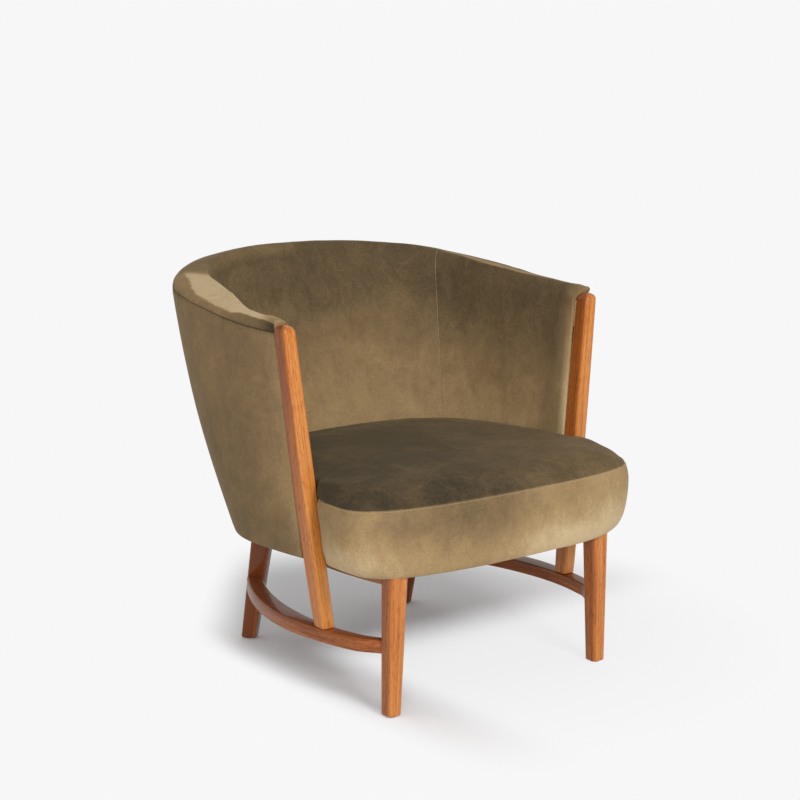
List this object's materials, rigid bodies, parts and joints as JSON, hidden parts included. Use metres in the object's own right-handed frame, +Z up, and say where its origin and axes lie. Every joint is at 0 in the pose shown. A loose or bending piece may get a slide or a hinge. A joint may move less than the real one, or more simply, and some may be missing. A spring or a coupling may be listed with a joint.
{
  "type": "tub chair",
  "caption": "Upholstered tub chair with a flared barrel back, slim wooden arm posts, bowed side stretchers and tapered legs, for one person to sit in.",
  "frame": {"origin": "on the floor under the middle of the chair's outer box", "axes": "+Z up, -Y is the front that a sitter faces, +X is the chair's right side seen from the front"},
  "size_m": [0.7688, 0.738, 0.753],
  "materials": {
    "velvet": "olive brown velvet",
    "wood": "satin lacquered",
    "frame_wood": "raw plywood and beech",
    "webbing": "woven elastic webbing",
    "dust_cloth": "black non-woven cloth",
    "glide": "dark nylon",
    "steel": "zinc plated"
  },
  "bodies": {
    "root": {"seat_cushion": "velvet", "inside_back_pad": "velvet", "outside_back_cover": "velvet", "back_top_rail": "frame_wood", "back_bottom_rail": "frame_wood", "back_ribs": "frame_wood", "seat_board": "frame_wood", "seat_webbing": "webbing", "dust_cover": "dust_cloth", "front_leg_left": "wood", "front_leg_right": "wood", "rear_leg_left": "wood", "rear_leg_right": "wood", "side_stretcher_left": "wood", "side_stretcher_right": "wood", "arm_post_left": "wood", "arm_post_right": "wood", "seat_rail_left": "wood", "seat_rail_right": "wood", "foot_glides": "glide", "frame_bolts": "steel", "back_bolts": "steel", "post_dowels": "frame_wood"}
  },
  "joints": []
}
